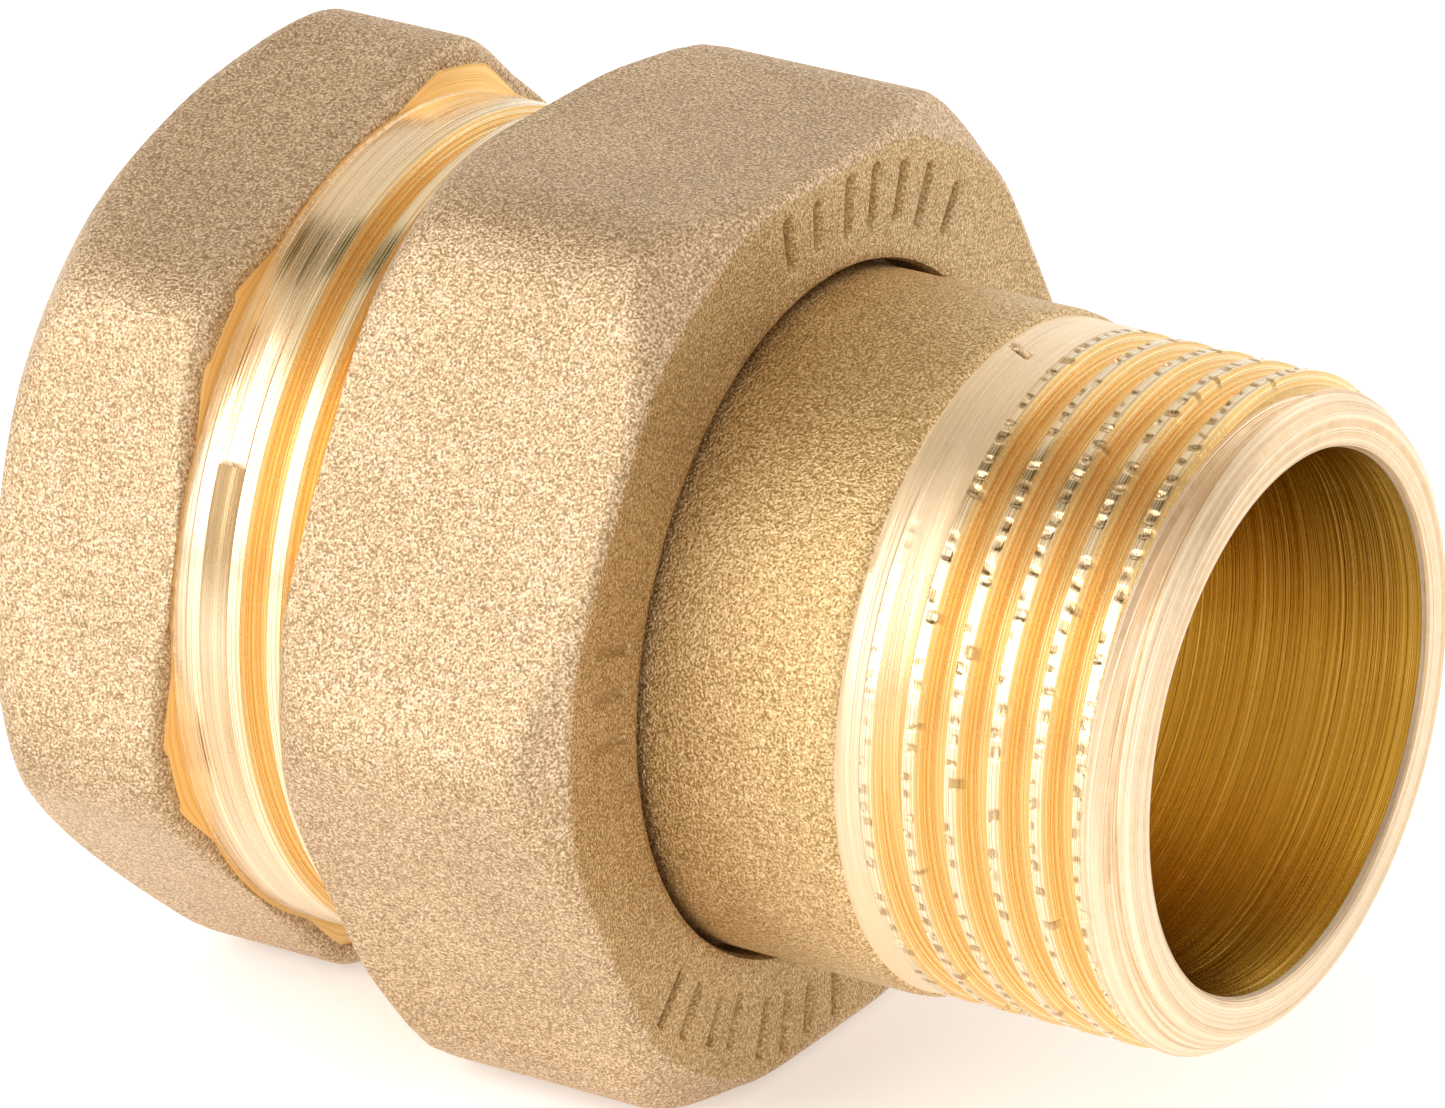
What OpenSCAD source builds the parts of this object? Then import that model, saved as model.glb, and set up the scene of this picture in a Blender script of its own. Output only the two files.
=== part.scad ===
// Brass pipe union: female body, captive nut, male tailpiece and seal ring.
// Millimetres. X runs along the flow axis, from the female socket mouth at
// x = 0 towards the male pipe thread. Z is up, square to a flat of the nut.

/* [Nodes] */
// which node to draw

/* [Threads] */
// pitch of both threads, 11 turns per inch
pitch = 2.309; // [1.5:0.001:3]
// depth of both threads
thread_depth = 1.479; // [0.9:0.001:2]
// outside radius of the one-inch pipe thread
pipe_major_r = 16.6245; // [10:0.0005:30]
// outside radius of the union thread
union_major_r = 20.955; // [12:0.0005:40]
// half angle of the thread flanks
flank_angle = 27.5; // [25:0.5:30]
// free radial play over the union thread
union_play = 0.095; // [0.05:0.005:0.4]

/* [Female body] */
// across flats of the body hexagon
body_flats = 42.5; // [35:0.1:60]
// turn of the body hexagon about the flow axis
body_turn = 47.5; // [0:0.5:60]
// length of the body hexagon
body_hex_length = 10.7; // [6:0.1:30]
// width across the rounded corners of the body hexagon
body_corner_d = 47.4; // [40:0.1:70]
// diameter of the flat ring at the back end
body_back_d = 43; // [35:0.1:60]
// length of the corner bevel at the back end
body_back_bevel = 1.8; // [0.5:0.1:5]
// diameter of the bevel at the front of the hexagon
body_front_d = 46.2; // [35:0.1:60]
// length of the bevel at the front of the hexagon
body_front_bevel = 0.5; // [0.2:0.1:3]
// plain collar between the hexagon and the first thread groove
collar_length = 2.6; // [1:0.1:8]
// number of union thread grooves
union_grooves = 6; // [3:1:12]
// position of the nose end of the body
nose_x = 27.5; // [20:0.1:45]
// depth of the female pipe socket
socket_depth = 14.5; // [8:0.1:25]
// bevel at the socket mouth
socket_bevel = 0.5; // [0.2:0.1:3]
// position of the first groove of the female pipe thread
socket_thread_x = 1.2; // [0.6:0.1:4]
// number of grooves in the female pipe thread
socket_grooves = 5; // [3:1:10]
// radius of the flow bore
bore_r = 13.32; // [8:0.01:20]
// radius of the seat cone at the nose
seat_mouth_r = 18.2; // [15:0.05:19]
// radius of the seat cone at its bottom
seat_base_r = 14.6; // [13.5:0.05:18]
// depth of the seat cone
seat_depth = 5; // [2:0.1:10]

/* [Union nut] */
// across flats of the nut
nut_flats = 46; // [38:0.1:70]
// turn of the nut about the flow axis
nut_turn = 30; // [0:0.5:60]
// width across the rounded corners of the nut
nut_corner_d = 51.4; // [42:0.1:80]
// position of the open back face of the nut
nut_back_x = 18.7; // [10:0.05:40]
// position of the front face of the nut
nut_front_x = 34.75; // [20:0.05:60]
// diameter of the flat front face
nut_face_d = 45.2; // [35:0.1:60]
// length of the front corner bevel
nut_bevel_length = 2.2; // [0.5:0.1:6]
// size of the corner bevel at the open back face
nut_back_bevel = 1.2; // [0.3:0.1:3]
// thickness of the front wall that holds the tailpiece
nut_wall = 3; // [1.5:0.1:8]
// radius of the hole in the front wall
nut_hole_r = 17.26; // [14:0.01:22]
// bevel round the bore at the open back face
nut_mouth_bevel = 0.8; // [0.2:0.1:2]

/* [Male tailpiece] */
// position of the free end face
tail_end_x = 60.5; // [40:0.1:90]
// radius of the cast neck
neck_r = 17; // [14:0.01:22]
// position where the neck meets the turned band
band_start_x = 45.05; // [35:0.05:60]
// length of the plain band behind the pipe thread
band_length = 2.1; // [0.5:0.05:6]
// number of pipe thread grooves
pipe_grooves = 5; // [3:1:12]
// radius of the end face
end_face_r = 15.05; // [13:0.05:16.5]
// length of the end bevel
end_bevel = 1.9; // [0.5:0.1:4]
// rounding left between the end bevel and the end face
end_rounding = 0.7; // [0.2:0.1:1.5]
// radius of the flange held by the nut
flange_r = 18.9; // [17.5:0.05:19.4]
// thickness of the flange
flange_length = 3.4; // [1.5:0.1:8]
// gap between the flange and the nut wall
flange_gap = 0.05; // [0.02:0.01:0.3]
// gap between the nose cone and its seat, square to the axis
cone_gap = 0.06; // [0.02:0.01:0.3]

// distance of the nose cone's tip from the bottom of the seat
tip_back = 0.5; // [0.1:0.1:2]

/* [Seal ring] */
// section radius of the seal ring
seal_r = 0.95; // [0.5:0.05:2]
// free play of the seal ring in its groove
seal_play = 0.05; // [0.02:0.01:0.2]
// distance of the seal centre behind the flange
seal_offset = 2.4; // [1:0.1:5]

/* [Hidden] */
fine = 96;
past = 1;
brass = [0.83, 0.66, 0.40];
brass_turned = [0.88, 0.72, 0.42];
rubber = [0.10, 0.10, 0.11];
flank_run = thread_depth * tan(flank_angle);
land = (pitch - 2 * flank_run) / 2;
pipe_minor_r = pipe_major_r - thread_depth;
nut_bore_r = union_major_r + union_play;
nut_wall_x = nut_front_x - nut_wall;
flange_front_x = nut_wall_x - flange_gap;
flange_back_x = flange_front_x - flange_length;
seat_slope = (seat_mouth_r - seat_base_r) / seat_depth;
seat_bottom_x = nose_x - seat_depth;
seat_angle = atan(seat_slope);
cone_tip_x = seat_bottom_x + tip_back;
seal_x = flange_back_x - seal_offset;
seal_centre_r = seat_r(seal_x) - (seal_r + seal_play) / cos(seat_angle);
collar_x = body_hex_length + collar_length;
thread_end_r = union_major_r - thread_depth;
pipe_thread_x = band_start_x + band_length;

// radius of the seat cone at a position along the axis
function seat_r(x) = seat_base_r + (x - seat_bottom_x) * seat_slope;

// solid turned about the flow axis; the points are [position, radius]
module turned(points) {
    rotate([90, 0, 90])
        rotate_extrude($fn = fine)
            polygon([for (p = points) [p[1], p[0]]]);
}

// hexagon bar along the flow axis with rounded corners
module hex_bar(flats, corner_d, from_x, to_x, turn) {
    translate([from_x, 0, 0])
        rotate([turn, 0, 0])
            rotate([0, 90, 0])
                linear_extrude(to_x - from_x)
                    intersection() {
                        circle(d = flats / cos(30), $fn = 6);
                        circle(d = corner_d, $fn = fine);
                    }
}

// one thread groove, cut from the inside, as a ring
module inner_groove(start_x, minor_r) {
    bottom_r = minor_r + thread_depth;
    turned([
        [start_x, minor_r - past],
        [start_x, minor_r],
        [start_x + flank_run, bottom_r],
        [start_x + flank_run + land, bottom_r],
        [start_x + 2 * flank_run + land, minor_r],
        [start_x + 2 * flank_run + land, minor_r - past]
    ]);
}

// one thread groove, cut from the outside, as a ring
module groove(start_x, major_r) {
    bottom_r = major_r - thread_depth;
    turned([
        [start_x - flank_run * past / thread_depth, major_r + past],
        [start_x + flank_run, bottom_r],
        [start_x + flank_run + land, bottom_r],
        [start_x + 2 * flank_run + land + flank_run * past / thread_depth, major_r + past]
    ]);
}

// body with a hexagon, a female pipe socket, the union thread and the seat
module female_body() {
    color(brass)
        difference() {
            union() {
                intersection() {
                    hex_bar(body_flats, body_corner_d, 0, body_hex_length, body_turn);
                    turned([
                        [0, 0],
                        [0, body_back_d / 2],
                        [body_back_bevel, body_corner_d / 2],
                        [body_hex_length - body_front_bevel, body_corner_d / 2],
                        [body_hex_length, body_front_d / 2],
                        [body_hex_length, 0]
                    ]);
                }
                turned([
                    [body_hex_length / 2, 0],
                    [body_hex_length / 2, union_major_r],
                    [nose_x - thread_depth, union_major_r],
                    [nose_x, thread_end_r],
                    [nose_x, 0]
                ]);
            }
            for (i = [0 : union_grooves - 1])
                groove(collar_x + i * pitch, union_major_r);
            for (i = [0 : socket_grooves - 1])
                inner_groove(socket_thread_x + i * pitch, pipe_minor_r);
            turned([
                [-past, 0],
                [-past, pipe_minor_r + socket_bevel + past],
                [socket_bevel, pipe_minor_r],
                [socket_depth, pipe_minor_r],
                [socket_depth, bore_r],
                [seat_bottom_x, bore_r],
                [seat_bottom_x, seat_base_r],
                [nose_x, seat_mouth_r],
                [nose_x + past, seat_mouth_r],
                [nose_x + past, 0]
            ]);
        }
}

// hexagon nut with an inward front wall that pulls the flange home
module union_nut() {
    color(brass)
        difference() {
            intersection() {
                hex_bar(nut_flats, nut_corner_d, nut_back_x, nut_front_x, nut_turn);
                turned([
                    [nut_back_x, 0],
                    [nut_back_x, nut_corner_d / 2 - nut_back_bevel],
                    [nut_back_x + nut_back_bevel, nut_corner_d / 2],
                    [nut_front_x - nut_bevel_length, nut_corner_d / 2],
                    [nut_front_x, nut_face_d / 2],
                    [nut_front_x, 0]
                ]);
            }
            turned([
                [nut_back_x - past, 0],
                [nut_back_x - past, nut_bore_r + nut_mouth_bevel + past],
                [nut_back_x + nut_mouth_bevel, nut_bore_r],
                [nut_wall_x, nut_bore_r],
                [nut_wall_x, nut_hole_r],
                [nut_front_x + past, nut_hole_r],
                [nut_front_x + past, 0]
            ]);
        }
}

// tailpiece with a nose cone, flange, cast neck and male pipe thread
module male_tailpiece() {
    color(brass_turned)
        difference() {
            turned([
                [cone_tip_x, bore_r],
                [cone_tip_x, seat_r(cone_tip_x) - cone_gap],
                [nose_x, seat_r(nose_x) - cone_gap],
                [flange_back_x, seat_r(nose_x) - cone_gap],
                [flange_back_x, flange_r],
                [flange_front_x, flange_r],
                [flange_front_x, neck_r],
                [band_start_x, neck_r],
                [band_start_x, pipe_major_r],
                [tail_end_x - end_bevel, pipe_major_r],
                [tail_end_x - end_rounding, end_face_r + end_rounding],
                [tail_end_x, end_face_r],
                [tail_end_x, bore_r]
            ]);
            for (i = [0 : pipe_grooves - 1])
                groove(pipe_thread_x + i * pitch, pipe_major_r);
            turned([
                [seal_x - seal_r - seal_play, seal_centre_r - seal_r - seal_play],
                [seal_x - seal_r - seal_play, seat_mouth_r],
                [seal_x + seal_r + seal_play, seat_mouth_r],
                [seal_x + seal_r + seal_play, seal_centre_r - seal_r - seal_play]
            ]);
        }
}

// rubber ring in the groove of the nose cone
module seal_ring() {
    color(rubber)
        translate([seal_x, 0, 0])
            rotate([0, 90, 0])
                rotate_extrude($fn = fine)
                    translate([seal_centre_r, 0])
                        circle(r = seal_r, $fn = fine);
}

female_body();
union_nut();
male_tailpiece();
seal_ring();
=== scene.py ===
import math

import bmesh
import bpy
import numpy as np
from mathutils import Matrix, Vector


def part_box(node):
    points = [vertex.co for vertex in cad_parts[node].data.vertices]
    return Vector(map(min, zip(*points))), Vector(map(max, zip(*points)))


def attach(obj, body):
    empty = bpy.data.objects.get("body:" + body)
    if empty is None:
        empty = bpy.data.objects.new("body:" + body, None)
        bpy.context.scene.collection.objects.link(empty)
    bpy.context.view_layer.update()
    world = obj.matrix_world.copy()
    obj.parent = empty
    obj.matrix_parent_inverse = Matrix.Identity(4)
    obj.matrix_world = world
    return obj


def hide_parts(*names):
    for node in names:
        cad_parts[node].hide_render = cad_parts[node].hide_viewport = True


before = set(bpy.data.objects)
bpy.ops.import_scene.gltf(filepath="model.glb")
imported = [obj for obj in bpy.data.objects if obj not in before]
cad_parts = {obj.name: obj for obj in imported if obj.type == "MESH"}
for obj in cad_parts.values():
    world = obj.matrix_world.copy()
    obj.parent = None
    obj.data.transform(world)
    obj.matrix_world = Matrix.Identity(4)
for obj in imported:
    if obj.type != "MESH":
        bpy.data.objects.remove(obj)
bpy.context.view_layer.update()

body_lo, body_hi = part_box("female_body")
nut_lo, nut_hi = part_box("union_nut")
tail_lo, tail_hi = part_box("male_tailpiece")
seal_lo, seal_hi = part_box("seal_ring")

# ---------------------------------------------------------------- sizes, in mm and radians

# one mm in Blender's metres
MM = 0.001
TAU = 2 * math.pi
PITCH = 2.309

BODY_NOSE = body_hi.x / MM
BODY_FLATS = 42.5
BODY_CORNER_R = 23.65
BODY_CORNER = math.radians(90 + 47.5)
SHOULDER = 10.45
FACE = SHOULDER + 0.22
SPOT_R = 22.35
UNION_R = 20.9
SOCKET_R = 15.18
SOCKET_MOUTH = 0.92
SOCKET_END = 14.45

NUT_BACK = nut_lo.x / MM
NUT_FRONT = nut_hi.x / MM
NUT_FLATS = 2 * nut_hi.z / MM
NUT_CORNER_R = 25.65
NUT_CORNER = math.radians(90 + 30)
NUT_ROUND = 0.5
NUT_WALL_BACK = 31.75
NUT_HOLE_R = 17.28

TAIL_END = tail_hi.x / MM
PIPE_R = 16.6245
BAND_START = 45.05
THREAD_FROM = 45.16
THREAD_TO = 58.5
BORE_R = 13.35

NICK_DEPTH = 0.12
STROKE_DEPTH = 0.42
HEX_BLEND = 0.9
SHARP_ANGLE = math.radians(38)
WELD = 0.002
SLIVER = 0.0001


# ---------------------------------------------------------------- shape maths


def smooth_step(a, b, v):
    t = np.clip((v - a) / (b - a), 0.0, 1.0)
    return t * t * (3 - 2 * t)


def soft_min(a, b, k):
    """The smaller of a and b, blended over a width of k where they cross."""
    h = np.clip(0.5 + 0.5 * (b - a) / k, 0.0, 1.0)
    return b * (1 - h) + a * h - k * h * (1 - h)


def hex_radius(angle, flats, corner_r, turn):
    """Distance from the axis to a hexagon with rounded corners; turn is where one corner is."""
    step = TAU / 6
    off = (angle - turn + step / 2) % step - step / 2
    away = step / 2 - np.abs(off)
    return soft_min(flats / 2 / np.cos(away), corner_r, HEX_BLEND)


class Thread:
    """A right-hand helical thread cut in a cylinder.

    start is where the first crest begins at angle 0. land, run and root are the widths along the axis of
    the crest, of one flank and of the bottom. fade gives the share of the full depth at each helix angle.
    tilt is how far the crest falls towards its far edge. crest lists the places of its mesh rows.
    """

    def __init__(self, start, land, run, root, depth, fade, tilt=0.0, crest=(0.0, 0.5, 1.0)):
        self.start, self.depth, self.fade, self.tilt = start, depth, fade, tilt
        self.land, self.run, self.root = land, run, root
        bottom = land + run + root
        # rows per turn: the crest's, then down the flank, the root and up the other flank
        self.cuts = [land * c for c in crest]
        self.cuts += [land + 0.14 * run, land + 0.5 * run, land + 0.86 * run, land + run + 0.5 * root]
        self.cuts += [bottom, bottom + 0.3 * run, bottom + 0.86 * run]

    def helix(self, x, angle):
        """(place within the pitch, whole helix angle) of a point."""
        s = x - self.start - PITCH * angle / TAU
        turn = np.floor(s / PITCH)
        return s - turn * PITCH, angle + TAU * turn

    def drop(self, x, angle):
        """How far the surface lies under the crests, and the point's place on the helix."""
        s, phi = self.helix(x, angle)
        down = np.clip((s - self.land) / self.run, 0, 1)
        up = np.clip((s - self.land - self.run - self.root) / self.run, 0, 1)
        cut = down - up
        # crest edges and root corners are slightly rounded
        cut = cut - 0.05 * np.sin(TAU * cut)
        lean = self.tilt * np.clip(s / self.land, 0, 1) * (1 - down)
        return (self.depth * cut + lean) * self.fade(phi), s, phi

    def length(self, c):
        """Distance along the surface from the start of the crest."""
        slope = math.hypot(self.run, self.depth) / self.run
        down = min(max(c - self.land, 0), self.run)
        up = max(c - self.land - self.run - self.root, 0)
        return c + (down + up) * (slope - 1)

    def rows(self, radius_at, low, high):
        """Rows for lathe() that follow the helix and are held between low and high."""
        first = math.floor((low - self.start) / PITCH) - 1
        last = math.ceil((high - self.start) / PITCH)
        out = []
        for turn in range(first, last + 1):
            for c in self.cuts:
                offset = self.start + turn * PITCH + c
                if low - PITCH <= offset <= high:
                    zone = "crest" if c < self.land * 0.99 else "groove"
                    out.append((helix_row(radius_at, offset, low, high), zone, self.length(c)))
        return out


def helix_row(radius_at, offset, low, high):
    def make(a):
        x = np.clip(offset + PITCH * a / TAU, low, high)
        return x, radius_at(x, a)

    return make


def flat_row(radius_at, x):
    """A row in the plane at x whose radius may change round the axis."""

    def make(a):
        place = np.full_like(a, x)
        return place, radius_at(place, a)

    return make


def ring(x, r):
    return lambda a: (np.full_like(a, x), np.full_like(a, r))


def spread(points, zone, longest=0.6):
    """Plain rings along a poly-line of (x, radius), with points added so that none are far apart."""
    out = []
    for (x0, r0), (x1, r1) in zip(points, points[1:]):
        parts = max(1, math.ceil(math.hypot(x1 - x0, r1 - r0) / longest))
        for n in range(parts):
            t = n / parts
            out.append((ring(x0 + (x1 - x0) * t, r0 + (r1 - r0) * t), zone, None))
    return out


def same_zone(makes, zone):
    return [(make, zone, None) for make in makes]


def add_floats(mesh, name, values):
    layer = mesh.attributes.new(name, "FLOAT", "POINT")
    layer.data.foreach_set("value", values.reshape(-1).astype(np.float32))


def lathe(name, columns, rows, plain=None, marks=None):
    """Closed skin round the X axis.

    rows is a list of (function of the angles giving x and radius in mm, zone, place along the cut or None);
    the last joins the first. plain is (thread, zone, least fade) for the stretch that the thread doesn't
    reach. marks gives how strongly a nick or stroke shows at a place, from 0 to 1.
    """
    angle = np.linspace(0, TAU, columns + 1)
    count = len(rows)
    xs = np.empty((columns + 1, count))
    rs = np.empty((columns + 1, count))
    for j, (make, _, _) in enumerate(rows):
        xs[:, j], rs[:, j] = make(angle)

    # a helix ends one pitch on from where it began, so the last column is kept and welded by place below
    co = np.empty((columns + 1, count, 3))
    co[..., 0] = xs
    co[..., 1] = rs * np.cos(angle)[:, None]
    co[..., 2] = rs * np.sin(angle)[:, None]

    zones = [zone for _, zone, _ in rows]
    along = np.zeros((columns + 1, count))
    for j in range(1, count):
        if rows[j][2] is not None:
            along[:, j] = rows[j][2]
        elif zones[j] == zones[j - 1]:
            along[:, j] = along[:, j - 1] + np.hypot(xs[:, j] - xs[:, j - 1], rs[:, j] - rs[:, j - 1])

    i, j = np.meshgrid(np.arange(columns), np.arange(count), indexing="ij")
    k = (j + 1) % count
    quads = np.stack([i * count + j, i * count + k, (i + 1) * count + k, (i + 1) * count + j], -1)
    mesh = bpy.data.meshes.new(name)
    mesh.from_pydata((co.reshape(-1, 3) * MM).tolist(), [], quads.reshape(-1, 4).tolist())

    slots = sorted(set(zones), key=zones.index)
    for zone in slots:
        mesh.materials.append(FINISH[zone])
    index = np.tile(np.array([slots.index(zone) for zone in zones]), (columns, 1))
    turns = np.broadcast_to(angle[:, None], xs.shape)
    uncut = np.zeros_like(xs)
    if plain:
        thread, bare_zone, least = plain
        _, phi = thread.helix(xs + 0.002, turns)
        fade = thread.fade(phi)
        cut = np.array([row[2] is not None and row[1] in ("crest", "groove") for row in rows])
        mesh.materials.append(FINISH[bare_zone])
        index[(fade[:-1] < least) & cut] = len(slots)
        uncut = (1 - smooth_step(0.2, 0.8, fade)) * cut
    mesh.polygons.foreach_set("material_index", index.reshape(-1).astype(np.int32))
    # mark: how much painted shade darkens the base colour in nicks, strokes and cuts
    add_floats(mesh, "mark", np.zeros_like(xs) if marks is None else marks(xs, rs, turns))
    add_floats(mesh, "uncut", uncut)
    add_floats(mesh, "along", along)

    bm = bmesh.new()
    bm.from_mesh(mesh)
    bmesh.ops.remove_doubles(bm, verts=bm.verts, dist=WELD * MM)
    bmesh.ops.dissolve_degenerate(bm, edges=bm.edges, dist=SLIVER * MM)
    bmesh.ops.recalc_face_normals(bm, faces=bm.faces)
    bm.to_mesh(mesh)
    bm.free()
    mesh.polygons.foreach_set("use_smooth", [True] * len(mesh.polygons))
    mesh.set_sharp_from_angle(angle=SHARP_ANGLE)
    obj = bpy.data.objects.new(name, mesh)
    bpy.context.scene.collection.objects.link(obj)
    return obj


# ---------------------------------------------------------------- materials


class Nodes:
    """A node material under construction."""

    def __init__(self, name):
        self.material = bpy.data.materials.new(name)
        self.material.use_nodes = True
        self.tree = self.material.node_tree
        self.shader = self.tree.nodes["Principled BSDF"]

    def add(self, kind, **values):
        """A new node; in_NAME values go to its input sockets."""
        node = self.tree.nodes.new(kind)
        for key, value in values.items():
            if key.startswith("in_"):
                node.inputs[key[3:].replace("_", " ")].default_value = value
            else:
                setattr(node, key, value)
        return node

    def link(self, a, b):
        self.tree.links.new(a, b)

    def place(self):
        return self.add("ShaderNodeTexCoord").outputs["Object"]

    def attribute(self, name):
        return self.add("ShaderNodeAttribute", attribute_name=name).outputs["Fac"]

    def noise(self, vector, scale, detail=4.0, rough=0.6):
        node = self.add("ShaderNodeTexNoise", in_Scale=scale, in_Detail=detail, in_Roughness=rough)
        self.link(vector, node.inputs["Vector"])
        return node.outputs["Fac"]

    def ramp(self, fac, stops):
        node = self.add("ShaderNodeValToRGB")
        elements = node.color_ramp.elements
        elements[0].position, elements[0].color = stops[0][0], (*stops[0][1], 1)
        elements[1].position, elements[1].color = stops[-1][0], (*stops[-1][1], 1)
        for position, colour in stops[1:-1]:
            elements.new(position).color = (*colour, 1)
        self.link(fac, node.inputs["Fac"])
        return node.outputs["Color"]

    def math(self, op, a, b):
        node = self.add("ShaderNodeMath", operation=op)
        for socket, value in zip(node.inputs, (a, b)):
            if isinstance(value, (int, float)):
                socket.default_value = value
            else:
                self.link(value, socket)
        return node.outputs[0]

    def total(self, *parts):
        """Sum of (value, weight) pairs."""
        terms = [self.math("MULTIPLY", value, weight) for value, weight in parts]
        result = terms[0]
        for term in terms[1:]:
            result = self.math("ADD", result, term)
        return result

    def mix(self, factor, a, b):
        """Output a where the factor is 0 and the fixed colour b where it is 1."""
        node = self.add("ShaderNodeMix", data_type="RGBA")
        self.link(factor, node.inputs["Factor"])
        self.link(a, node.inputs[6])
        node.inputs[7].default_value = (*b, 1)
        return node.outputs[2]

    def base(self, colour, mark_shade):
        """Base colour that turns to a painted shade colour in nicks and strokes."""
        mark_shaded = self.mix(self.math("MINIMUM", self.attribute("mark"), 0.85), colour, mark_shade)
        self.link(mark_shaded, self.shader.inputs["Base Color"])

    def bump(self, height, strength, distance, below=None):
        node = self.add("ShaderNodeBump", in_Strength=strength, in_Distance=distance)
        self.link(height, node.inputs["Height"])
        if below is not None:
            self.link(below, node.inputs["Normal"])
        return node.outputs["Normal"]


# painted shade: the colours that nicks, strokes and cuts darken to
CAST_MARK_SHADE = (0.34, 0.20, 0.09)
TURNED_MARK_SHADE = (0.46, 0.29, 0.12)
TURNED_BARE = (0.96, 0.77, 0.53)


def cast_brass(name, dark, middle, light, rough=0.5):
    """Sand-cast and blasted brass: fine grains, pits and soft cloudy tone."""
    n = Nodes(name)
    place = n.place()
    grain = n.noise(place, 7600.0, 2.0, 0.65)
    lumps = n.noise(place, 2600.0, 2.0, 0.5)
    cloud = n.noise(place, 90.0, 3.0, 0.6)
    cells = n.add("ShaderNodeTexVoronoi", in_Scale=6500.0, feature="F1")
    n.link(place, cells.inputs["Vector"])
    pits = n.math("MULTIPLY", cells.outputs["Distance"], -0.22)
    tone = n.math("ADD", n.total((grain, 0.85), (cloud, 0.12), (lumps, 0.15)), pits)
    n.base(n.ramp(tone, [(0.33, dark), (0.46, middle), (0.60, light)]), CAST_MARK_SHADE)
    n.shader.inputs["Metallic"].default_value = 1.0
    n.link(n.math("ADD", n.math("MULTIPLY", cloud, 0.14), rough - 0.07), n.shader.inputs["Roughness"])
    coarse = n.bump(lumps, 0.35, 0.0001)
    fine = n.bump(n.math("ADD", grain, pits), 0.9, 0.0001, coarse)
    n.link(fine, n.shader.inputs["Normal"])
    return n.material


def turned_brass(name, dark, middle, light, rough, lines, depth, around=14.0, grain=0.2):
    """Brass cut on a lathe: crisp tool lines that follow the cut, with some run-together and worn spots.

    lines is the number of tool lines per mm, and around how fast they change round the axis.
    """
    n = Nodes(name)
    place = n.place()
    parts = n.add("ShaderNodeSeparateXYZ")
    n.link(place, parts.inputs[0])
    lay = n.add("ShaderNodeCombineXYZ")
    n.link(n.math("MULTIPLY", n.attribute("along"), lines), lay.inputs[0])
    for axis in (1, 2):
        n.link(n.math("MULTIPLY", parts.outputs[axis], around), lay.inputs[axis])
    tool = n.noise(lay.outputs[0], 1.0, 3.0, 0.75)
    crisp = n.add("ShaderNodeMapRange", interpolation_type="SMOOTHSTEP", in_From_Min=0.42, in_From_Max=0.60)
    n.link(tool, crisp.inputs["Value"])
    broad = n.add("ShaderNodeVectorMath", operation="MULTIPLY")
    n.link(lay.outputs[0], broad.inputs[0])
    broad.inputs[1].default_value = (0.22, 1.0, 1.0)
    band = n.noise(broad.outputs[0], 1.0, 2.0, 0.5)
    speck = n.noise(place, 1400.0, 3.0, 0.7)
    tone = n.total((crisp.outputs[0], 0.28), (band, 0.5), (speck, grain))
    colour = n.ramp(tone, [(0.28, dark), (0.48, middle), (0.70, light)])
    n.base(n.mix(n.attribute("uncut"), colour, TURNED_BARE), TURNED_MARK_SHADE)
    n.shader.inputs["Metallic"].default_value = 1.0
    n.link(n.math("ADD", n.math("MULTIPLY", speck, 0.12), rough - 0.06), n.shader.inputs["Roughness"])
    height = n.total((band, 0.6), (crisp.outputs[0], 1.0), (speck, grain))
    n.link(n.bump(height, 0.7, depth), n.shader.inputs["Normal"])
    return n.material


def rubber(name):
    n = Nodes(name)
    grain = n.noise(n.place(), 1500.0, 4.0, 0.6)
    black = n.ramp(grain, [(0.3, (0.010, 0.010, 0.011)), (0.7, (0.028, 0.028, 0.030))])
    n.link(black, n.shader.inputs["Base Color"])
    n.shader.inputs["Roughness"].default_value = 0.55
    n.link(n.bump(grain, 0.3, 0.00003), n.shader.inputs["Normal"])
    return n.material


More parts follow.
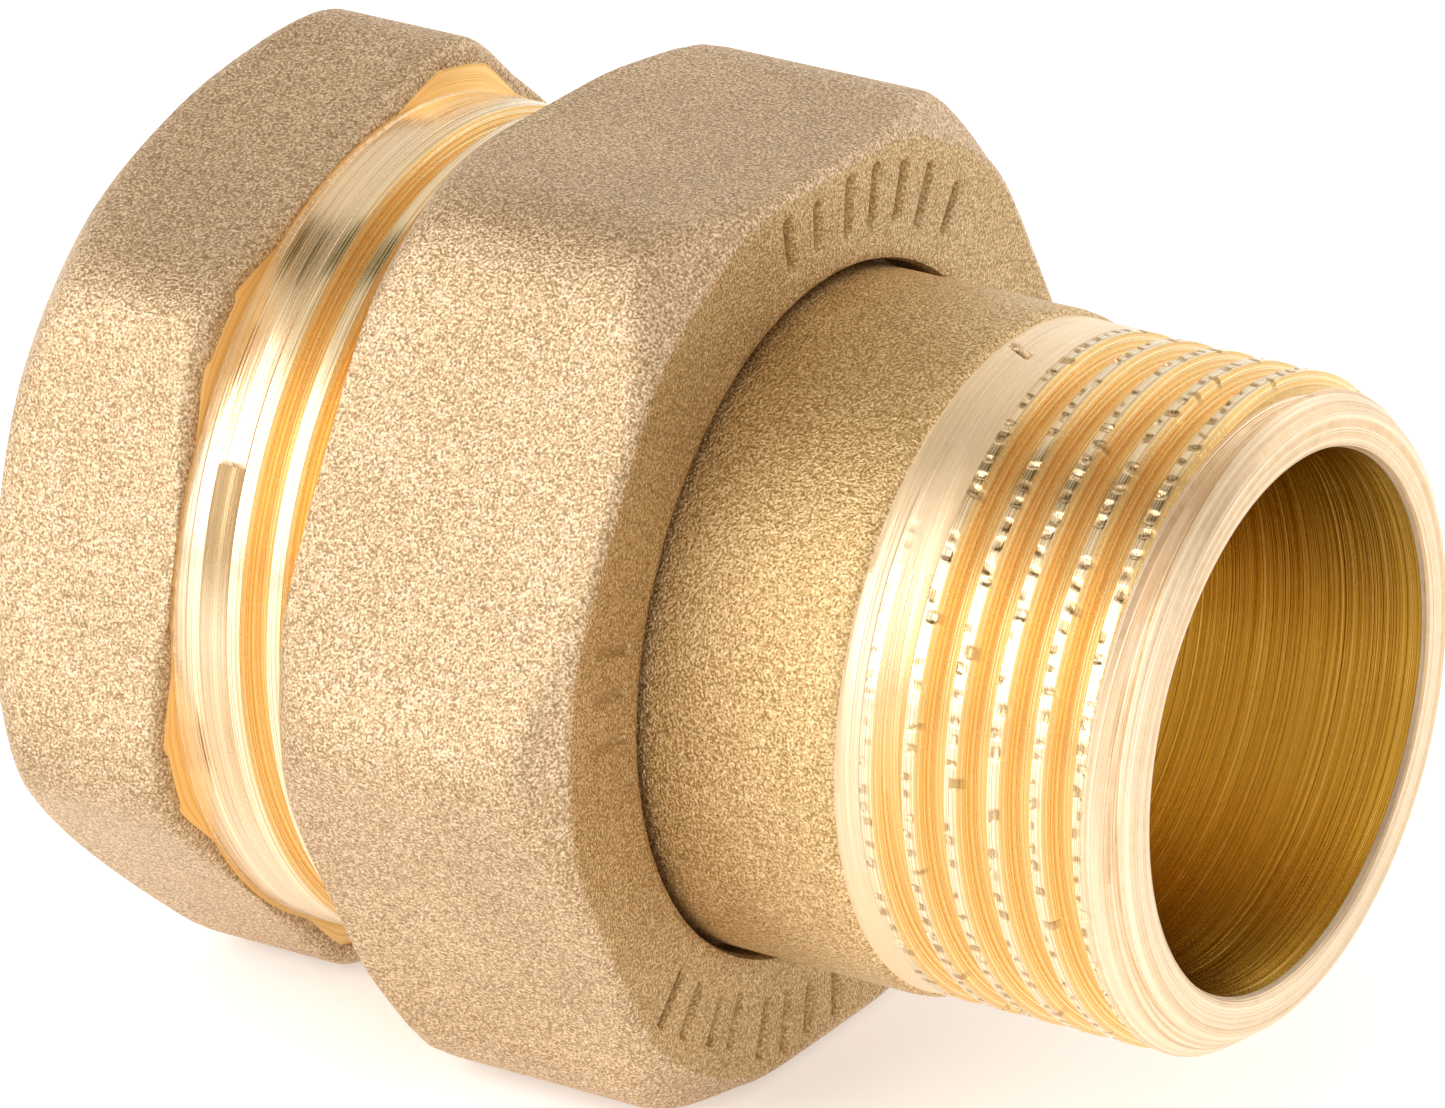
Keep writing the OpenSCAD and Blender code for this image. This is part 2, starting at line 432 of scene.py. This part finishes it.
CREST = turned_brass(
    "crest_brass",
    (0.76, 0.55, 0.29),
    (0.95, 0.76, 0.50),
    (1.0, 0.88, 0.67),
    rough=0.17,
    lines=5.0,
    depth=0.00002,
    around=5.0,
    grain=0.1,
)
FINISH = {
    "cast": cast_brass("cast_brass", (0.34, 0.222, 0.112), (0.60, 0.428, 0.262), (0.89, 0.705, 0.50)),
    "neck": cast_brass("neck_brass", (0.385, 0.238, 0.092), (0.66, 0.448, 0.213), (0.93, 0.73, 0.44), 0.44),
    # painted shade and reflected light: a darker, more orange copy of the cast brass for the nut's front
    # face, next to the neck
    "face": cast_brass("face_brass_shade_and_reflection", (0.33, 0.208, 0.09), (0.565, 0.388, 0.192), (0.82, 0.645, 0.39)),
    "crest": CREST,
    "bright": CREST,
    "collar": CREST,
    # painted reflection: flanks and roots get a more orange copy of the turned brass, for light bounced
    # between brass faces
    "groove": turned_brass(
        "thread_brass_painted_reflection",
        (0.88, 0.55, 0.20),
        (1.0, 0.73, 0.34),
        (1.0, 0.94, 0.66),
        rough=0.26,
        lines=9.0,
        depth=0.00003,
        around=4.0,
        grain=0.03,
    ),
    "satin": turned_brass(
        "satin_brass",
        (0.64, 0.44, 0.24),
        (0.86, 0.665, 0.455),
        (0.93, 0.77, 0.575),
        rough=0.42,
        lines=7.0,
        depth=0.00003,
        grain=0.25,
    ),
    # painted reflection: the spot face is made more orange for the nut and thread that it reflects
    "spot": turned_brass(
        "spot_brass_painted_reflection",
        (0.86, 0.54, 0.18),
        (0.97, 0.65, 0.27),
        (1.0, 0.74, 0.36),
        rough=0.34,
        lines=4.0,
        depth=0.00001,
        grain=0.1,
    ),
    "bore": turned_brass(
        "bore_brass",
        (0.55, 0.32, 0.035),
        (0.74, 0.45, 0.065),
        (0.98, 0.74, 0.26),
        rough=0.22,
        lines=14.0,
        depth=0.000012,
        around=3.0,
        grain=0.04,
    ),
    "rubber": rubber("seal_rubber"),
}

# ---------------------------------------------------------------- pipe thread and its nicks

dice = np.random.default_rng(7)
NICKS = 98
COUNT = NICKS * 9
nick_shift = dice.normal(0, 0.13, COUNT)
nick_size = dice.choice([0.0, 0.3, 0.6, 0.8, 1.0, 1.2], COUNT, p=[0.10, 0.15, 0.2, 0.25, 0.2, 0.1])
nick_lean = dice.uniform(-0.25, 0.25, COUNT)
nick_half = dice.uniform(0.10, 0.27, COUNT)
nick_from = dice.uniform(-0.3, 0.45, COUNT)
nick_to = nick_from + dice.uniform(0.45, 0.9, COUNT)


def nicks(s, phi, land):
    """Depth in mm of the small pinch marks along the pipe thread's crests, and how much of it is an edge."""
    place = phi / TAU * NICKS
    number = np.clip(np.round(place).astype(int), 0, COUNT - 1)
    across = s / land
    away = np.abs(place - number - nick_shift[number] - nick_lean[number] * (across - 0.5))
    half = nick_half[number]
    begin, end = nick_from[number], nick_to[number]
    on_crest = smooth_step(begin - 0.12, begin + 0.12, across)
    on_crest *= 1 - smooth_step(end - 0.12, end + 0.12, across)
    mark = (1 - smooth_step(half - 0.07, half + 0.07, away)) * on_crest * nick_size[number]
    # edge: where painted shade darkens the nick's sloping sides
    edge = 4 * mark * np.clip(1 - mark, 0, 1)
    return NICK_DEPTH * mark, edge


def tail_fade(phi):
    return smooth_step(1.7, 3.9, phi)


pipe_thread = Thread(
    start=45.35,
    land=0.62,
    run=0.66,
    root=0.369,
    depth=1.18,
    fade=tail_fade,
    crest=(0.0, 0.2, 0.5, 0.8, 1.0),
)


CUT_ANGLE = 1.667
CUT_LEAN = 0.035
CUT_DEPTH = 0.3


def start_cut(x, a):
    """The oblique cut where the threading tool first touched the band, from 0 to 1."""
    side = (a - CUT_ANGLE - CUT_LEAN * (x - 46.2)) * PIPE_R
    return (1 - smooth_step(0.10, 0.28, np.abs(side))) * (1 - smooth_step(0.55, 0.8, np.abs(x - 46.15)))


def pipe_radius(x, a):
    drop, s, phi = pipe_thread.drop(x, a)
    r = PIPE_R - drop - pipe_thread.fade(phi) * nicks(s, phi, pipe_thread.land)[0]
    end_x = [BAND_START, TAIL_END - 1.95, TAIL_END - 0.75, TAIL_END - 0.3, TAIL_END]
    ends = np.interp(x, end_x, [PIPE_R, PIPE_R, 15.75, 15.45, 15.05])
    return np.minimum(r, ends) - CUT_DEPTH * start_cut(x, a)


# painted shade on the nicks' sloping sides and in the oblique start cut
def pipe_mark_shade(x, r, a):
    s, phi = pipe_thread.helix(x, a)
    edges = nicks(s, phi, pipe_thread.land)[1] * pipe_thread.fade(phi)
    on_thread = (r > PIPE_R - 0.42) & (x > BAND_START + 0.15) & (x < THREAD_TO - 0.1)
    return np.where(on_thread, np.clip(edges, 0, 1) + start_cut(x, a), 0)


# ---------------------------------------------------------------- female body

STUB_START = 2.68


def body_fade(phi):
    # the tool was drawn out in the collar: a shallow last stretch with a square end
    stub = 0.20 - 0.08 * smooth_step(2.7, 3.3, phi) + 0.88 * smooth_step(4.2, 7.2, phi)
    return np.where(phi < STUB_START, 0.0, stub)


union_thread = Thread(start=10.14, land=0.66, run=0.66, root=0.329, depth=1.22, fade=body_fade, tilt=0.10)
socket_thread = Thread(start=1.0, land=0.5, run=0.62, root=0.569, depth=1.12, fade=np.ones_like)


def union_radius(x, a):
    drop, _, _ = union_thread.drop(x, a)
    ends = np.interp(x, [SHOULDER, BODY_NOSE - 1.3, BODY_NOSE - 0.05], [UNION_R, UNION_R, 19.5])
    return np.minimum(UNION_R - drop, ends)


# painted shade in the groove where the shallow stub begins
def union_mark_shade(x, r, a):
    s, phi = union_thread.helix(x, a)
    stub = (phi > STUB_START) * (1 - smooth_step(2.85, 3.12, phi)) * (s > union_thread.land + 0.02)
    return np.where((r > 20.0) & (x > SHOULDER + 0.1) & (x < 20), stub * 0.8, 0)


def socket_radius(x, a):
    drop, _, _ = socket_thread.drop(x, a)
    root = SOCKET_R + socket_thread.depth
    relief = np.interp(x, [12.9, 13.6], [SOCKET_R, root])
    return np.maximum(root - drop, relief)


def body_hex(a):
    return hex_radius(a, BODY_FLATS, BODY_CORNER_R, BODY_CORNER)


def body_side(x):
    return lambda a: (np.full_like(a, x), soft_min(body_hex(a), 21.3 + 1.25 * x, 1.2))


def body_rim(a):
    """The rounding's size, the radius where it meets the front, and 1 where that lies in the spot face."""
    r = body_hex(a)
    size = np.clip(r - 21.05, 0.18, 0.95)
    inner = r - size
    low = 1 - smooth_step(SPOT_R, SPOT_R + 0.15, inner)
    return size, inner, low


def body_edge(t):
    """Rounded cast edge between the hexagon's sides and its front, t from 0 to 1."""

    def make(a):
        size, inner, low = body_rim(a)
        x = FACE - size + size * math.sin(t * math.pi / 2)
        return x - (FACE - SHOULDER) * low * t, inner + size * math.cos(t * math.pi / 2)

    return make


def body_face(t):
    """What is left of the cast front outside the turned spot face."""

    def make(a):
        _, inner, low = body_rim(a)
        edge = np.minimum(inner, SPOT_R)
        return FACE - (FACE - SHOULDER) * low, inner + (edge - inner) * t

    return make


def spot_face(t):
    """Turned flat round the collar, from its edge to the collar."""

    def make(a):
        _, inner, _ = body_rim(a)
        edge = np.minimum(inner - 0.01, SPOT_R - 0.04)
        return np.full_like(a, SHOULDER), edge + (UNION_R - edge) * t

    return make


SIDE_STEPS = (0.02, 0.12, 0.3, 0.6, 0.95, 1.3, 1.7, 2.1, 2.6, 3.2, 4.0, 5.5, 7.0, 8.2, 9.0)
NOSE = [
    (BODY_NOSE - 1.09, 19.95),
    (BODY_NOSE - 0.1, 19.3),
    (BODY_NOSE - 0.05, 18.3),
    (22.6, 14.62),
    (22.5, BORE_R),
    (14.5, BORE_R),
]
rows = spread([(0.9, 15.25), (0.0, 16.2), (0.0, 21.25)], "cast", 0.5)
rows += same_zone([body_side(x) for x in SIDE_STEPS], "cast")
rows += same_zone([body_edge(t) for t in np.linspace(0, 1, 7)], "cast")
rows += same_zone([body_face(t) for t in (0.4, 0.8, 0.98)], "cast")
rows += [(spot_face(t), "spot", 1.5 * t) for t in (0.0, 0.2, 0.5, 0.8, 0.97)]
rows += union_thread.rows(union_radius, SHOULDER + 0.02, BODY_NOSE - 1.1)
rows += spread(NOSE, "bright", 0.8)
rows += reversed(socket_thread.rows(socket_radius, SOCKET_MOUTH, SOCKET_END))
body = lathe("body_casting", 560, rows, (union_thread, "collar", 0.1), union_mark_shade)

# ---------------------------------------------------------------- union nut

# groups of plain strokes: centre and half-width in degrees, number, mean radius, share of the full depth
STROKE_GROUPS = ((79, 21, 7, 20.5, 1.0), (249, 23, 8, 20.7, 1.0), (172, 7, 3, 20.0, 0.45))
strokes = []
for centre, reach, number, mid_r, deepest in STROKE_GROUPS:
    for at in np.linspace(centre - reach, centre + reach, number):
        turn = math.radians(at + dice.uniform(-0.8, 0.8))
        middle_r = mid_r + dice.uniform(-0.25, 0.25)
        strokes.append((turn, middle_r, deepest * dice.uniform(0.7, 1.0), dice.uniform(1.15, 1.6)))


def stamped(a, r):
    """Depth in mm of the plain radial strokes in the nut's front face."""
    depth = np.zeros_like(a)
    for turn, middle_r, strength, half_length in strokes:
        side = np.abs(((a - turn + math.pi) % TAU - math.pi) * r)
        reach = 1 - smooth_step(0.85 * half_length, half_length + 0.15, np.abs(r - middle_r))
        depth += STROKE_DEPTH * strength * reach * (1 - smooth_step(0.12, 0.40, side))
    return depth


# painted shade in the strokes: the deeper the stroke, the darker
def nut_mark_shade(x, r, a):
    return np.where((x > NUT_FRONT - 0.5) & (r > 17.8), np.clip(stamped(a, r) * 2.2, 0, 1), 0)


def nut_side(x):
    """The hexagon with its long front bevel and its short back bevel."""

    def make(a):
        r = hex_radius(a, NUT_FLATS, NUT_CORNER_R, NUT_CORNER)
        r = soft_min(r, 23.25 + 1.2 * (NUT_FRONT - x), 0.7)
        r = soft_min(r, 24.0 + 1.3 * (x - NUT_BACK), 0.9)
        return np.full_like(a, x), r

    return make


def nut_round(t):
    """Rounded edge from the bevel into the front face, t from 0 to 1."""

    def make(a):
        edge = nut_side(NUT_FRONT - NUT_ROUND)(a)[1]
        x = NUT_FRONT - NUT_ROUND + NUT_ROUND * math.sin(t * math.pi / 2)
        return np.full_like(a, x), edge - 0.75 * (1 - math.cos(t * math.pi / 2))

    return make


def nut_face(t):
    """Front face with its strokes, t from 0 at the rounded edge to 1 at the hole."""

    def make(a):
        outer = nut_round(1.0)(a)[1]
        r = outer + (17.75 - outer) * t
        return NUT_FRONT - stamped(a, r), r

    return make


BACK_STEPS = (0.01, 0.1, 0.25, 0.45, 0.7, 1.0, 1.5, 2.5, 4.0, 6.0, 8.0, 10.0)
FRONT_STEPS = (4.2, 3.4, 2.8, 2.4, 2.0, 1.7, 1.4, 1.15, 0.9, 0.7, 0.56)
NUT_HOLE = [(NUT_FRONT - 0.12, 17.42), (NUT_FRONT - 0.45, NUT_HOLE_R), (NUT_WALL_BACK + 0.01, NUT_HOLE_R)]
NUT_BORE = [(NUT_WALL_BACK, 17.4), (NUT_WALL_BACK, 21.05), (NUT_BACK + 0.75, 21.06), (NUT_BACK + 0.02, 21.65)]
rows = spread([(NUT_BACK, 21.7), (NUT_BACK, 22.4)], "cast", 0.3)
rows += same_zone([nut_side(NUT_BACK + step) for step in BACK_STEPS], "cast")
rows += same_zone([nut_side(NUT_FRONT - step) for step in FRONT_STEPS], "cast")
rows += same_zone([nut_round(t) for t in (0.0, 0.2, 0.4, 0.6)], "cast")
rows += same_zone([nut_round(0.8)], "face")
rows += same_zone([nut_face(t) for t in np.linspace(0, 1, 34)], "face")
rows += spread(NUT_HOLE, "face", 0.5)
rows += spread(NUT_BORE, "groove", 0.8)
nut = lathe("nut_casting", 720, rows, marks=nut_mark_shade)

# ---------------------------------------------------------------- male tailpiece

NOSE_AND_GROOVE = [(23.0, 13.4), (23.0, 14.86), (24.88, 16.2), (24.88, 14.83), (26.92, 14.83), (26.92, 17.67)]
FLANGE = [(27.5, 18.1), (28.3, 18.14), (28.3, 18.85), (31.7, 18.88), (31.7, 17.0)]
NECK = [(31.72, 16.95), (33.0, 16.93), (44.3, 16.95), (44.75, 16.9), (45.0, 16.78), (45.08, 16.70)]
END_STEPS = (58.52, 58.6, *np.arange(58.75, 60.11, 0.15), 60.2, 60.3, 60.4)
MOUTH = [(TAIL_END, 15.0), (TAIL_END, 13.75), (TAIL_END - 0.12, 13.5), (TAIL_END - 0.4, BORE_R + 0.01)]
rows = spread(NOSE_AND_GROOVE, "bright", 0.8)
rows += spread(FLANGE, "bright", 0.8)
rows += spread(NECK, "neck", 2.0)
rows += spread([(BAND_START + 0.07, 16.66), (BAND_START + 0.09, PIPE_R)], "satin", 0.5)
rows += pipe_thread.rows(pipe_radius, THREAD_FROM, THREAD_TO)
rows += [(flat_row(pipe_radius, x), "satin", x - 58) for x in END_STEPS]
rows += spread(MOUTH, "satin", 0.3)
rows += spread([(TAIL_END - 0.5, BORE_R), (23.3, BORE_R)], "bore", 3.0)
tail = lathe("tail_casting", 1080, rows, (pipe_thread, "satin", 0.3), pipe_mark_shade)

# ---------------------------------------------------------------- seal ring

seal_half = (seal_hi.x - seal_lo.x) / 2 / MM
seal_x = (seal_hi.x + seal_lo.x) / 2 / MM
seal_r = seal_hi.z / MM - seal_half
section = np.linspace(0, TAU, 20, endpoint=False)
rows = []
for t in section:
    rows.append((ring(seal_x + seal_half * math.cos(t), seal_r + seal_half * math.sin(t)), "rubber", None))
seal = lathe("seal_ring_rubber", 160, rows)

for piece, body_name, node, slot in (
    (body, "body", "female_body", "body_brass"),
    (nut, "nut", "union_nut", "nut_brass"),
    (tail, "tail", "male_tailpiece", "tail_brass"),
    (seal, "seal", "seal_ring", "seal_rubber"),
):
    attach(piece, body_name)
    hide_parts(node)

# ---------------------------------------------------------------- stage, in metres and degrees

TARGET = Vector((0.02855, 0.0, 0.00154))


def stand(obj, azimuth, elevation, away):
    """Put an object at a distance from the target and turn it to face the target."""
    a, e = math.radians(azimuth), math.radians(elevation)
    back = Vector((math.sin(a) * math.cos(e), -math.cos(a) * math.cos(e), math.sin(e)))
    obj.location = TARGET + back * away
    obj.rotation_mode = "QUATERNION"
    obj.rotation_quaternion = (-back).to_track_quat("-Z", "Y")
    bpy.context.scene.collection.objects.link(obj)


def flat_piece(name, half_x, half_y, z, material):
    mesh = bpy.data.meshes.new(name)
    corners = [(-half_x, -half_y, z), (half_x, -half_y, z), (half_x, half_y, z), (-half_x, half_y, z)]
    mesh.from_pydata(corners, [], [(0, 1, 2, 3)])
    mesh.materials.append(material)
    return bpy.data.objects.new(name, mesh)


def light(name, azimuth, elevation, away, size, power):
    data = bpy.data.lights.new(name, "AREA")
    data.shape, data.size, data.size_y = "RECTANGLE", size[0], size[1]
    data.energy = power
    obj = bpy.data.objects.new(name, data)
    stand(obj, azimuth, elevation, away)


def card(name, azimuth, elevation, away, size, shade):
    """A dark card that only shows in reflections."""
    coat = Nodes(name + "_paint")
    coat.shader.inputs["Base Color"].default_value = (0, 0, 0, 1)
    coat.shader.inputs["Specular IOR Level"].default_value = 0.0
    coat.shader.inputs["Emission Color"].default_value = (*shade, 1)
    coat.shader.inputs["Emission Strength"].default_value = 1.0
    obj = flat_piece(name, size[0] / 2, size[1] / 2, 0, coat.material)
    obj.visible_camera = obj.visible_diffuse = obj.visible_shadow = obj.visible_transmission = False
    stand(obj, azimuth, elevation, away)


paint = Nodes("floor_paint")
paint.shader.inputs["Base Color"].default_value = (0.93, 0.93, 0.93, 1)
paint.shader.inputs["Roughness"].default_value = 0.8
paint.shader.inputs["Emission Color"].default_value = (1, 1, 1, 1)
paint.shader.inputs["Emission Strength"].default_value = 0.35
floor_z = min(body_lo.z, nut_lo.z) - 0.00005
floor = flat_piece("floor", 3, 3, floor_z, paint.material)
bpy.context.scene.collection.objects.link(floor)

# a studio that is white at the sides and warmer overhead
world = bpy.data.worlds.new("studio")
world.use_nodes = True
sky = world.node_tree
way = sky.nodes.new("ShaderNodeTexCoord")
split = sky.nodes.new("ShaderNodeSeparateXYZ")
shade = sky.nodes.new("ShaderNodeValToRGB")
stops = shade.color_ramp.elements
stops[0].position, stops[0].color = 0.0, (1, 1, 1, 1)
stops[1].position, stops[1].color = 0.80, (0.86, 0.78, 0.66, 1)
stops.new(0.45).color = (0.95, 0.95, 0.95, 1)
sky.links.new(way.outputs["Generated"], split.inputs[0])
sky.links.new(split.outputs["Z"], shade.inputs["Fac"])
sky.links.new(shade.outputs["Color"], sky.nodes["Background"].inputs["Color"])
sky.nodes["Background"].inputs["Strength"].default_value = 0.97
bpy.context.scene.world = world

light("key", -36, 26, 0.6, (0.55, 0.50), 2.35)
light("back", 150, 28, 0.7, (0.7, 0.3), 0.7)
light("right", 80, 20, 0.7, (0.25, 0.5), 0.5)
card("dark_card", -86, 60, 0.51, (0.16, 0.8), (0.12, 0.095, 0.03))
card("side_card", 110, 16, 0.5, (0.18, 0.6), (0.05, 0.04, 0.015))

camera_data = bpy.data.cameras.new("camera")
camera_data.lens = 289.05
camera_data.sensor_width = 36
camera_data.clip_start, camera_data.clip_end = 0.05, 20
camera = bpy.data.objects.new("camera", camera_data)
stand(camera, 31.99, 23.23, 0.5646)
bpy.context.scene.camera = camera
bpy.context.scene.view_settings.view_transform = "Standard"
